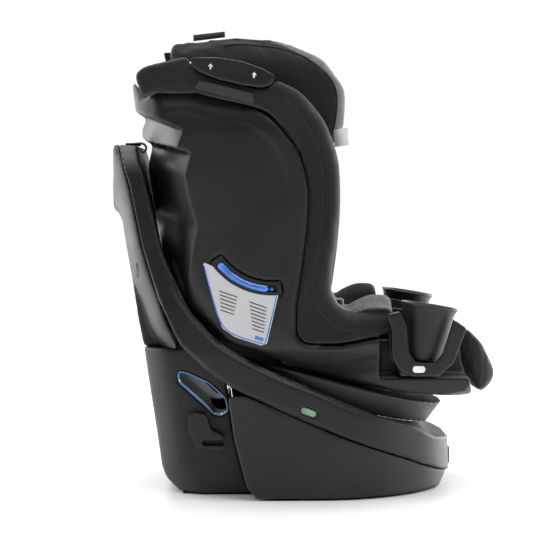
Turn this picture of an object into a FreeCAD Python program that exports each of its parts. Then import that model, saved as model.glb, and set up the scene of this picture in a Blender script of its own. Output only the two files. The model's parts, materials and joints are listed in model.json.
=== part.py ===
import FreeCAD, Part
import math
import os

os.makedirs("parts", exist_ok=True)
V = FreeCAD.Vector

# A rotating convertible child seat on its base. X points forward, Y to the
# left, Z up, millimetres. The origin lies on the floor under the turntable.

# ---------------------------------------------------------------- sizes
BASE_HALF = 200.0          # half width of the base, and radius of its round front
REAR_HALF = 142.0          # half width of the rear lower housing
CHEEK_INNER = 150.0        # inner faces of the two side cheeks
WALL = 3.0                 # moulded wall of the base
MAT_T = 2.0                # grip pads under the base
TILT = 15.0                # the turntable leans forward by this angle
RING_Z = 122.8             # height of the turntable centre
DECK_N = 9.0               # deck height over the turntable centre, along its axis
NECK_LOW_R = 171.5         # turntable neck, at the deck
NECK_TOP_R = 184.6         # turntable neck, at its top
NECK_TOP_N = 43.0
SPINDLE_R = 130.0          # spindle that goes through the deck
DECK_HOLE_R = 142.0
RUN_GAP = 1.0              # running gap under the neck and round the spindle
PIVOT_N = 480.0            # the recline rocks about a line this high over the centre
RECLINE = 6.0              # full recline, degrees
RAIL_R = 430.0             # top of the recline rails, from that line
RAIL_HALF = 90.0           # half distance between the recline rails
RAIL_W = 16.0
SEAT_HALF = 191.0          # half width of the seat shell
SEAT_WALL = 4.0
BUCKET_HALF = 130.0        # half width between the side bolsters
HEAD_HALF = 152.0          # half width of the headrest
HEAD_INNER = 106.0
BACK_SLOPE = 0.2126        # back line leans rearward by this much per unit height
BACK_T = 8.5               # shell's back between the bucket and the swept space
CUSHION_T = 26.0
SOFT_GAP = 0.4             # between soft pieces and what they rest on
CUP_R = 40.0               # cup holder rim
CUP_BASE_R = 27.0
CUP_H = 80.0
CUP_Y = 167.0
CUP_TILT = 9.0
CUP_FOOT = (143.0, 188.0)  # X and Z of the cup's bottom centre
STRAP_W = 38.0
STRAP_T = 1.8
LENS_R = 92.0              # level vial: radius of its arc
LENS_C = (-62.0, 382.7)    # X and Z of the arc's centre
BALL_R = 3.4
LIFT_TRAVEL = 10.0
RUNNER_T = 2.5
CRADLE_IN = 118.0
CRADLE_OUT = 204.0
VIAL_BACK = 181.0
LENS_END = (-4.0, 52.0)
SEAT_PAD_T = 20.0
LOCK_R = 137.0             # radius of the circle of lock notches
PIN_R = 3.5
RACE_R = 155.0
BEARING_R = 3.5
BEARINGS = 24
WINDOW_AT = (-12.3, 121.9)
BUCKLE_Z = 256.7

TURN = FreeCAD.Placement(V(0, 0, RING_Z), FreeCAD.Rotation(V(0, 1, 0), TILT))
BIG = 900.0


# ---------------------------------------------------------------- helpers
def inset(points, amount):
    """Moves each side of a closed outline inward by amount; points are (a, b, corner radius)."""
    count = len(points)
    area = sum(points[i][0] * points[(i + 1) % count][1] - points[(i + 1) % count][0] * points[i][1]
               for i in range(count))
    turn = 1.0 if area > 0 else -1.0
    sides = []
    for i in range(count):
        a, b = points[i], points[(i + 1) % count]
        dx, dz = b[0] - a[0], b[1] - a[1]
        size = math.hypot(dx, dz)
        nx, nz = -dz / size * turn, dx / size * turn
        sides.append((a[0] + nx * amount, a[1] + nz * amount, dx, dz))
    moved = []
    for i in range(count):
        x0, z0, dx0, dz0 = sides[i - 1]
        x1, z1, dx1, dz1 = sides[i]
        cross = dx0 * dz1 - dz0 * dx1
        t = ((x1 - x0) * dz1 - (z1 - z0) * dx1) / cross
        convex = cross * turn > 0
        radius = points[i][2]
        if radius > 0:
            radius = max(radius - amount, 0.0) if convex else max(radius + amount, 0.0)
        moved.append((x0 + dx0 * t, z0 + dz0 * t, radius))
    return moved


def outline(points, place):
    """A closed wire with rounded corners; place turns (a, b) into a point in space."""
    count = len(points)
    corners = []
    for i in range(count):
        p, c, q = points[i - 1], points[i], points[(i + 1) % count]
        ux, uz = p[0] - c[0], p[1] - c[1]
        vx, vz = q[0] - c[0], q[1] - c[1]
        lu, lv = math.hypot(ux, uz), math.hypot(vx, vz)
        ux, uz, vx, vz = ux / lu, uz / lu, vx / lv, vz / lv
        half = 0.5 * math.acos(max(-1.0, min(1.0, ux * vx + uz * vz)))
        radius = c[2]
        reach = min(radius / math.tan(half), 0.45 * lu, 0.45 * lv) if radius > 0 else 0.0
        if reach < 0.05:
            corners.append([(c[0], c[1])])
            continue
        mx, mz = ux + vx, uz + vz
        lm = math.hypot(mx, mz)
        radius = reach * math.tan(half)
        centre = radius / math.sin(half)
        mid = centre - radius
        corners.append([(c[0] + ux * reach, c[1] + uz * reach),
                        (c[0] + mx / lm * mid, c[1] + mz / lm * mid),
                        (c[0] + vx * reach, c[1] + vz * reach)])
    edges = []
    for i in range(count):
        here = corners[i]
        after = corners[(i + 1) % count]
        if len(here) == 3:
            edges.append(Part.Arc(*[place(*p) for p in here]).toShape())
        edges.append(Part.LineSegment(place(*here[-1]), place(*after[0])).toShape())
    return Part.Wire(edges)


def side_prism(points, y0, y1, gap=0.0):
    """An outline in X and Z, pulled from y0 to y1; gap shrinks it on every side."""
    shape = inset(points, gap) if gap else points
    wire = outline(shape, lambda a, b: V(a, y0 + gap, b))
    return Part.Face(wire).extrude(V(0, y1 - y0 - 2 * gap, 0))


def front_prism(half, x0, x1, gap=0.0):
    """The right half of a front outline as (y, z, radius), mirrored and pulled along X."""
    points = half + [(-y, z, r) for y, z, r in reversed(half)]
    shape = inset(points, gap) if gap else points
    wire = outline(shape, lambda a, b: V(x0, a, b))
    return Part.Face(wire).extrude(V(x1 - x0, 0, 0))


def plan_prism(points, z0, z1, gap=0.0):
    """An outline in X and Y, pulled up from z0 to z1."""
    shape = inset(points, gap) if gap else points
    wire = outline(shape, lambda a, b: V(a, b, z0))
    return Part.Face(wire).extrude(V(0, 0, z1 - z0))


def turned(points, placed=True):
    """A profile of (radius, height) turned about the turntable axis."""
    wire = Part.makePolygon([V(r, 0, n) for r, n in points] + [V(points[0][0], 0, points[0][1])])
    solid = Part.Face(wire).revolve(V(0, 0, 0), V(0, 0, 1), 360)
    if placed:
        solid.Placement = TURN.multiply(solid.Placement)
    return solid


def box(x0, x1, y0, y1, z0, z1):
    return Part.makeBox(x1 - x0, y1 - y0, z1 - z0, V(x0, y0, z0))


def mirrored(shape):
    return shape.mirror(V(0, 0, 0), V(0, 1, 0))


def tube(points, radius, bend):
    """A round bar along straight runs joined by tangent arcs."""
    edges = []
    last = V(*points[0])
    for i in range(1, len(points) - 1):
        p, c, q = V(*points[i - 1]), V(*points[i]), V(*points[i + 1])
        u, w = p.sub(c).normalize(), q.sub(c).normalize()
        half = 0.5 * u.getAngle(w)
        reach = bend / math.tan(half)
        start, end = c.add(u.multiply(reach)), c.add(w.multiply(reach))
        middle = start.add(end).multiply(0.5).sub(c)
        centre = bend / math.sin(half)
        mid = c.add(middle.normalize().multiply(centre - bend))
        edges.append(Part.LineSegment(last, start).toShape())
        edges.append(Part.Arc(start, mid, end).toShape())
        last = end
    edges.append(Part.LineSegment(last, V(*points[-1])).toShape())
    path = Part.Wire(edges)
    first = V(*points[1]).sub(V(*points[0]))
    ring = Part.Wire([Part.Circle(V(*points[0]), first, radius).toShape()])
    return path.makePipeShell([ring], True, False)


def save(name, *shapes):
    """Writes one node, as one solid or a group of separate solids."""
    solids = [s for shape in shapes for s in shape.Solids if s.Volume > 1.0]
    out = solids[0] if len(solids) == 1 else Part.makeCompound(solids)
    out.exportStep("parts/" + name + ".step")


def save_both(name, shape):
    """Writes a piece and its mirror image as one node."""
    save(name, shape, mirrored(shape))


def save_pair(name, shape):
    """Writes the right-hand piece and its mirror image as two nodes."""
    save(name + "_right", shape)
    save(name + "_left", mirrored(shape))


# ---------------------------------------------------------------- swept space
# Everything that turns stays inside SWEEP; the base stays outside the same
# profile. Both are (radius, height along the turntable axis).
SWEEP = [(184.0, 28.0), (204.0, 44.0), (234.0, 58.0), (250.0, 74.0), (264.0, 86.0), (281.0, 98.0),
         (285.0, 110.0), (289.0, 130.0), (293.0, 200.0), (309.0, 235.0), (320.0, 263.0),
         (320.0, 295.0), (420.0, 296.0), (420.0, 560.0)]
SWEEP_GAP = 3.0


def pocket(gap):
    profile = [(0.0, -90.0), (DECK_HOLE_R + gap, -90.0), (DECK_HOLE_R + gap, DECK_N - gap),
               (SWEEP[0][0] + SWEEP_GAP + gap, DECK_N - gap)]
    profile += [(r + SWEEP_GAP + gap, n) for r, n in SWEEP]
    return turned(profile + [(0.0, SWEEP[-1][1])])


def keep_in_sweep(shape, gap=0.0):
    """Trims a piece of the seat so that it clears the base both upright and fully reclined."""
    profile = [(0.0, NECK_TOP_N + RUN_GAP + gap), (SWEEP[0][0] - gap, NECK_TOP_N + RUN_GAP + gap)]
    profile += [(r - gap, n + gap) for r, n in SWEEP[1:]]
    upright = turned(profile + [(0.0, SWEEP[-1][1] + gap)])
    reclined = upright.copy()
    reclined.rotate(TURN.multVec(V(0, 0, PIVOT_N)), V(0, 1, 0), RECLINE)
    return shape.common(upright).common(reclined)


# ---------------------------------------------------------------- base outlines
BAND_LOW = [(199.0, 17.0, 2), (127.0, 51.4, 60), (27.6, 89.6, 60), (-100.0, 146.0, 40),
            (-118.0, 156.0, 10)]
BAND_REAR = [(-145.0, 173.0, 20), (-187.0, 214.0, 40), (-216.8, 276.0, 60), (-239.5, 348.4, 120),
             (-257.2, 430.4, 120), (-274.9, 488.0, 1)]
BAND_FRONT = [(-249.0, 486.5, 3), (-233.9, 428.7, 120), (-212.7, 342.5, 120), (-200.8, 314.5, 60),
              (-173.4, 258.4, 60), (-135.9, 218.3, 60), (-89.0, 188.8, 60), (3.8, 148.3, 60),
              (86.1, 112.8, 60), (134.2, 97.0, 60), (168.0, 76.0, 15), (196.0, 68.0, 3)]
BAND = BAND_LOW + BAND_REAR + BAND_FRONT
FRONT_LOW = [(179.0, MAT_T, 2), (195.5, 20.6, 2), (126.8, 51.0, 60), (27.6, 89.2, 60),
             (-100.0, 145.6, 40),
             (-122.4, 143.0, 6), (-113.9, 84.1, 60), (-96.7, 17.8, 30), (-83.0, MAT_T, 4)]
REAR_LOW = [(-85.0, MAT_T, 4), (-98.4, 17.8, 30), (-115.4, 84.1, 60), (-123.9, 144.0, 6),
            (-123.9, 230.0, 0), (-190.0, 204.0, 0), (-241.0, 204.0, 3), (-233.8, 152.6, 60),
            (-221.6, 71.8, 60), (-216.3, 35.7, 20), (-209.2, 17.7, 10), (-191.4, MAT_T, 2)]
COVER = [(-191.5, 206.0, 2), (-241.2, 206.0, 3), (-248.5, 242.1, 60), (-261.6, 329.3, 100),
         (-269.8, 385.0, 60), (-281.5, 400.0, 12), (-283.0, 487.5, 5), (-275.6, 488.0, 1),
         (-258.0, 430.4, 120), (-240.3, 348.4, 120), (-217.6, 276.0, 60)]
TUNNEL = [(-193.3, 175.0, 6), (-192.5, 158.0, 12), (-158.3, 127.5, 30), (-142.0, 112.0, 8),
          (-131.8, 110.0, 8), (-121.5, 116.0, 6), (-124.5, 136.0, 20), (-149.3, 158.0, 20), (-178.0,
                                                                                             171.0, 12)]
BASE_FRONT = [(BASE_HALF, 0.0, 0), (BASE_HALF, 200.0, 60), (184.0, 330.0, 80), (156.0, 460.0, 45),
              (118.0, 489.0, 45)]


def base_plan(gap, z0=-10.0, z1=520.0):
    round_front = Part.makeCylinder(BASE_HALF - gap, z1 - z0, V(0, 0, z0))
    behind = box(-BIG / 2, 0, -BASE_HALF + gap, BASE_HALF - gap, z0, z1)
    return round_front.fuse(behind)


def open_arch(gap):
    """The space between the two cheeks, under the hoop's top bar."""
    low = box(-BIG / 2, -144.0 + gap, -CHEEK_INNER - gap, CHEEK_INNER + gap, 0, 330)
    high = front_prism([(CHEEK_INNER + gap, 329.0, 0), (118.0 + gap, 392.0 + gap, 40)], -BIG / 2,
                       -144.0 + gap)
    return low.fuse(high)


def upper_body(gap):
    body = side_prism(BAND, -BASE_HALF, BASE_HALF, gap)
    body = body.common(base_plan(gap)).common(front_prism(BASE_FRONT, -BIG / 2, BIG / 2, gap))
    return body.cut(pocket(gap)).cut(open_arch(gap))


def lower_body(gap):
    body = side_prism(FRONT_LOW, -BASE_HALF + 3.0, BASE_HALF - 3.0, gap)
    return body.common(base_plan(gap + 3.0))


def rear_body(gap):
    body = side_prism(REAR_LOW, -REAR_HALF, REAR_HALF, gap)
    tunnel = side_prism(TUNNEL, -BASE_HALF, BASE_HALF, -gap) if gap else side_prism(TUNNEL, -BASE_HALF,
                                                                                    BASE_HALF)
    band = side_prism(inset(BAND, -0.3 - gap), -BIG,
                      BIG).common(box(-144.3 - gap, BIG, -BIG, BIG, 0, BIG))
    return body.cut(pocket(gap)).cut(tunnel).cut(band)


def cover_body(gap):
    body = side_prism(COVER, -178.0, 178.0, gap)
    body = body.common(front_prism([(y - 2.0, z - 0.5, r) for y, z, r in BASE_FRONT], -BIG / 2, BIG / 2,
                                   gap))
    hole = front_prism([(75.0 + gap, 336.0 - gap, 14), (75.0 + gap, 380.0 + gap, 14)], -BIG / 2, -150.0)
    return body.cut(pocket(gap)).cut(hole)


def window_plate(length, height, y_in, y_out):
    """A round-ended plate that lies along the slope of the base's side band."""
    slope = math.radians(-20.0)
    ux, uz = math.cos(slope), math.sin(slope)
    corners = []
    for a, b in ((-1, -1), (1, -1), (1, 1), (-1, 1)):
        da, db = a * length / 2, b * height / 2
        corners.append((WINDOW_AT[0] + da * ux - db * uz, WINDOW_AT[1] + da * uz + db * ux,
                        height * 0.44))
    return side_prism(corners, -y_out, -y_in)


# ---------------------------------------------------------------- base pieces
def make_base():
    opening = window_plate(22.6, 9.6, BASE_HALF - WALL - 1, BASE_HALF + 1)
    save("base_upper_shell", upper_body(0).cut(upper_body(WALL)).cut(opening).cut(mirrored(opening)))
    inner = lower_body(WALL)
    opened = inner.fuse(inner.translated(V(0, 0, 12)))
    save("base_lower_shell", lower_body(0).cut(opened).cut(side_prism(BAND, -BIG, BIG)).cut(pocket(0)))
    save("rear_lower_housing", rear_body(0).cut(rear_body(WALL)))
    save("hoop_rear_cover", cover_body(0).cut(cover_body(WALL)))

    pads = [plan_prism([(-60, -120, 20), (160, -70, 40), (160, 70, 40), (-60, 120, 20)], 0, MAT_T),
            box(-186, -100, -130, -90, 0, MAT_T), box(-186, -100, 90, 130, 0, MAT_T)]
    save("grip_pads", *pads)

    liner = side_prism(inset(TUNNEL, 0.3), -REAR_HALF - 1.5, -REAR_HALF + 14)
    liner = liner.cut(side_prism(inset(TUNNEL, 2.0), -BASE_HALF, 0))
    save_both("tunnel_liners", liner)

    save_both("lock_windows", window_plate(22.0, 9.0, BASE_HALF - WALL + 0.1, BASE_HALF + 0.3))
    save_both("lock_flags", window_plate(20.0, 8.0, BASE_HALF - WALL - 2.4, BASE_HALF - WALL - 0.6))

    race = turned([(LOCK_R + 10, DECK_N), (RACE_R + 9, DECK_N), (RACE_R + 9, DECK_N + 8),
                   (RACE_R - 9, DECK_N + 8), (RACE_R - 9, DECK_N + 3.5), (LOCK_R - 6, DECK_N + 3.5),
                   (LOCK_R - 6, DECK_N)])
    groove = Part.makeTorus(RACE_R, BEARING_R + 0.2, V(0, 0, DECK_N + 8 + BEARING_R - 1.5))
    groove.Placement = TURN.multiply(groove.Placement)
    race = race.cut(groove)
    for k in range(4):
        angle = math.radians(90.0 * k)
        hole = Part.makeCylinder(PIN_R + 1.0, 20.0,
                                 V(LOCK_R * math.cos(angle), LOCK_R * math.sin(angle), 0))
        hole.Placement = TURN.multiply(hole.Placement)
        race = race.cut(hole)
    save("bearing_race", race)
    balls = []
    for k in range(BEARINGS):
        angle = 2 * math.pi * k / BEARINGS
        ball = Part.makeSphere(BEARING_R, V(RACE_R * math.cos(angle), RACE_R * math.sin(angle),
                                            DECK_N + 8 + BEARING_R - 1.5))
        ball.Placement = TURN.multiply(ball.Placement)
        balls.append(ball)
    save("bearing_balls", *balls)

    connector = side_prism([(-178, 118, 14), (-178, 92, 12), (-166, 66, 6), (-128, 64, 6),
                            (-128, 84, 6),
                            (-146, 92, 10), (-152, 114, 10)], -REAR_HALF - 11.0, -REAR_HALF - 0.3)
    slot = side_prism([(-158, 70, 3), (-120, 70, 0), (-120, 78, 0), (-158, 78, 3)], -BASE_HALF, 0)
    save_both("anchor_connectors", connector.cut(slot))
    save("tether_guide", plan_prism([(-272, -14, 3), (-250, -14, 3), (-250, 14, 3), (-272, 14, 3)],
                                    488.2, 492.5)
         .cut(box(-265, -257, -9, 9, 480, 500)))
    save("front_tab", side_prism([(199.0, 24, 1), (201.4, 24, 1), (201.4, 48, 1), (199.0, 48, 1)], -13,
                                 13))


# ---------------------------------------------------------------- turntable
def make_turntable():
    hub = turned([(0, NECK_TOP_N), (NECK_TOP_R, NECK_TOP_N), (NECK_LOW_R, DECK_N + RUN_GAP),
                  (NECK_LOW_R - 3.2, DECK_N + RUN_GAP), (NECK_TOP_R - 4.6, NECK_TOP_N - 3.5),
                  (0, NECK_TOP_N - 3.5)])
    pin_hole = Part.makeCylinder(PIN_R + 0.4, 60.0, V(LOCK_R, 0, 0))
    pin_hole.Placement = TURN.multiply(pin_hole.Placement)
    save("turntable_hub", hub.cut(pin_hole))
    track_low = DECK_N + 8 + 2 * BEARING_R - 3.0 + 1.7
    track = turned([(RACE_R - 9, track_low), (RACE_R + 9, track_low), (RACE_R + 9, NECK_TOP_N - 3.6),
                    (RACE_R - 9, NECK_TOP_N - 3.6)])
    groove = Part.makeTorus(RACE_R, BEARING_R + 0.2, V(0, 0, DECK_N + 8 + BEARING_R - 1.5))
    groove.Placement = TURN.multiply(groove.Placement)
    save("upper_race", track.cut(groove))
    save("spindle", turned([(SPINDLE_R - 12, -3), (SPINDLE_R - 5, -3), (SPINDLE_R - 5,
                                                                        NECK_TOP_N - 3.6),
                            (SPINDLE_R - 12, NECK_TOP_N - 3.6)]))
    save("retaining_ring", turned([(SPINDLE_R - 4.9, 1), (DECK_HOLE_R - 2, 1), (DECK_HOLE_R - 2,
                                                                                DECK_N - 1),
                                   (SPINDLE_R - 4.9, DECK_N - 1)]))
    screws = []
    for k in range(6):
        angle = math.radians(60.0 * k + 30.0)
        head = Part.makeCylinder(3.5, 3.0,
                                 V((SPINDLE_R + 3) * math.cos(angle), (SPINDLE_R + 3) * math.sin(angle),
                                             -2.1))
        head.Placement = TURN.multiply(head.Placement)
        screws.append(head)
    save("ring_screws", *screws)
    rails = []
    for side in (-1, 1):
        rails.append(rocker(RAIL_R, RAIL_R + 60, side * RAIL_HALF, RAIL_W, -60.0, 100.0,
                            NECK_TOP_N + 0.05))
    save("recline_rails", *rails)
    pin = Part.makeCylinder(PIN_R, NECK_TOP_N - 1.0 - (DECK_N + 4.0), V(LOCK_R, 0, DECK_N + 4.0))
    pin.Placement = TURN.multiply(pin.Placement)
    save("lock_pin", pin)


def rocker(inner, outer, y, width, u0, u1, n0):
    """A curved rail about the recline line, between two places along the turntable."""
    low = V(0, y - width / 2, PIVOT_N)
    ring = Part.makeCylinder(outer, width, low,
                             V(0, 1, 0)).cut(Part.makeCylinder(inner, width, low, V(0, 1, 0)))
    piece = ring.common(box(u0, u1, -BIG, BIG, n0, n0 + 90.0))
    piece.Placement = TURN.multiply(piece.Placement)
    return piece


# ---------------------------------------------------------------- seat outlines
COVER_LINE = [(98.7, 225.1, 30), (34.5, 212.4, 40), (-17.3, 213.8, 15), (-28.5, 226.0, 12),
              (-28.0, 262.0, 60),
              (-18.2, 330.0, 150), (-13.0, 375.3, 80), (-10.9, 416.8, 60), (-15.1, 448.0, 60),
              (-25.4, 479.1, 40), (-62.9, 525.5, 60), (-83.6, 537.9, 40), (-167.4, 560.6, 60),
              (-218.0, 558.4, 30), (-238.7, 550.1, 2)]
SHELL = [(-257.0, 587.0, 4), (-245.0, 500.0, 4), (-231.0, 488.0, 5), (-237.0, 458.0, 30),
         (-226.0, 388.0, 150),
         (-205.0, 304.0, 100), (-188.0, 262.0, 50), (-148.0, 224.0, 50), (-78.0, 200.0, 40), (18.0,
                                                                                              164.0, 150),
         (114.0, 143.4, 100), (205.0, 136.0, 10), (221.0, 138.0, 3), (207.0, 182.0, 20), (200.0, 240.0,
                                                                                          6)]
SHELL_SIDE = SHELL + COVER_LINE
LIFT_LOW = [(-63.0, 567.0, 5), (-77.0, 563.5, 10), (-104.0, 567.0, 30), (-135.0, 574.5, 30),
            (-160.0, 584.0, 20), (-170.0, 592.0, 5)]
LIFT_TOP = [(-173.0, 604.0, 6), (-135.0, 604.5, 30), (-102.0, 599.4, 30), (-73.0, 589.0, 20),
            (-56.0, 579.0, 6)]
BOLSTER_FRONT = [(112.0, 240.0, 10), (102.0, 263.0, 12), (47.0, 259.0, 30), (30.0, 268.0, 20),
                 (20.0, 292.0, 25),
                 (33.5, 410.0, 150), (31.0, 465.0, 60), (12.0, 520.0, 60), (-22.0, 561.0, 40), (-55.0,
                                                                                                577.0, 4)]
BOLSTER_TOP = [(-176.0, 609.0, 6), (-206.0, 601.6, 30), (-238.0, 594.0, 14), (-251.5, 582.0, 6)]
SEAT_FRONT = [(150.0, 128.0, 0), (160.0, 170.0, 30), (SEAT_HALF, 210.0, 30), (SEAT_HALF, 520.0, 90),
              (148.0, 610.0, 40)]
BUCKET = [(-120.0, 232.0, 30), (236.0, 204.0, 0), (236.0, 700.0, 0), (-264.2, 700.0, 0),
          (-172.5, 268.6, 20)]
HEAD_SIDE = [(-204.0, 629.0, 10), (-171.5, 633.5, 20), (-110.0, 641.0, 80), (-46.0, 635.0, 60),
             (10.9, 607.5, 40),
             (43.5, 562.0, 30), (41.0, 520.0, 30), (34.0, 492.0, 10), (10.0, 482.0, 20), (-170.0, 481.0,
                                                                                          8)]
HEAD_SLOPE = 34.0 / 148.0
FLAP = [(196.0, 229.0, 6), (216.0, 227.0, 8), (236.0, 206.0, 30), (256.0, 169.0, 30),
        (259.0, 150.0, 10),
        (250.0, 133.0, 8), (237.0, 133.0, 5), (224.5, 152.0, 20), (210.0, 184.0, 15), (204.1, 210.0, 8)]
CRADLE = [(94.0, 256.0, 3), (101.5, 234.0, 10), (101.5, 197.0, 14), (112.0, 178.0, 14),
          (130.0, 171.0, 10),
          (165.0, 171.0, 10), (186.0, 190.0, 16), (203.0, 237.0, 3), (187.0, 248.0, 3), (171.0, 201.0,
                                                                                         14),
          (160.0, 189.0, 10), (134.0, 190.0, 10), (123.5, 204.0, 14), (121.5, 240.0, 20), (112.0, 259.5,
                                                                                           3)]
LABEL = [(-156.6, 327.3, 2), (-143.0, 321.4, 8), (-100.0, 303.0, 40), (-52.3, 285.8, 2),
         (-68.9, 214.9, 4),
         (-77.1, 213.0, 3), (-112.5, 224.5, 20), (-130.0, 237.0, 8)]
PATCH = [(-167.0, 562.5, 2), (-160.6, 572.8, 3), (-140.0, 568.5, 3), (-88.0, 555.0, 3),
         (-85.0, 541.0, 3)]


def bucket(gap=0.0):
    """The hollow that the child sits in, kept inside the swept space by the shell's back."""
    side = inset(BUCKET, -gap)
    torso = side_prism(side, -BUCKET_HALF - gap, BUCKET_HALF + gap)
    head = side_prism(side, -HEAD_HALF - 5 - gap,
                      HEAD_HALF + 5 + gap).common(box(-BIG, BIG, -BIG, BIG, 474 - gap, BIG))
    return keep_in_sweep(torso.fuse(head), BACK_T - gap)


def channels(gap=0.0):
    out = None
    for side in (-1, 1):
        piece = rocker(RAIL_R - RUNNER_T - 1.2 - gap, RAIL_R + 90, side * RAIL_HALF,
                       RAIL_W + 3.0 + 2 * gap,
                       -116.0 - gap, 116.0 + gap, 20.0)
        out = piece if out is None else out.fuse(piece)
    return out


def cup_room(gap=0.0):
    return box(88.0 - gap, BIG, -BIG, -CRADLE_IN + gap, 166.0 - gap, BIG).fuse(
        box(88.0 - gap, BIG, CRADLE_IN - gap, BIG, 166.0 - gap, BIG))


def seat_body(gap):
    body = side_prism(SHELL_SIDE, -SEAT_HALF, SEAT_HALF, gap)
    body = keep_in_sweep(body.common(front_prism(SEAT_FRONT, -BIG / 2, BIG / 2, gap)), gap)
    return body.cut(bucket(gap)).cut(channels(gap)).cut(cup_room(gap))


def cup_cone(grow=0.0, low=0.0):
    """A solid the shape of the cup holder, standing on its foot."""
    wire = Part.makePolygon([V(0, 0, low), V(CUP_BASE_R + grow, 0, low),
                             V(CUP_R - 5 + grow, 0, CUP_H - 12),
                             V(CUP_R + grow, 0, CUP_H), V(0, 0, CUP_H), V(0, 0, low)])
    cone = Part.Face(wire).revolve(V(0, 0, 0), V(0, 0, 1), 360)
    cone.Placement = FreeCAD.Placement(V(CUP_FOOT[0], -CUP_Y, CUP_FOOT[1]),
                                       FreeCAD.Rotation(V(0, 1, 0), CUP_TILT))
    return cone


def arc_band(inner, outer, start, end, y0, y1):
    """Part of a ring about the level's centre; angles from straight down, rearward."""
    def at(radius, angle):
        a = math.radians(angle)
        return V(LENS_C[0] - radius * math.sin(a), y0, LENS_C[1] - radius * math.cos(a))
    mid = 0.5 * (start + end)
    edges = [Part.Arc(at(inner, start), at(inner, mid), at(inner, end)).toShape(),
             Part.LineSegment(at(inner, end), at(outer, end)).toShape(),
             Part.Arc(at(outer, end), at(outer, mid), at(outer, start)).toShape(),
             Part.LineSegment(at(outer, start), at(inner, start)).toShape()]
    return Part.Face(Part.Wire(edges)).extrude(V(0, y1 - y0, 0))


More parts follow.
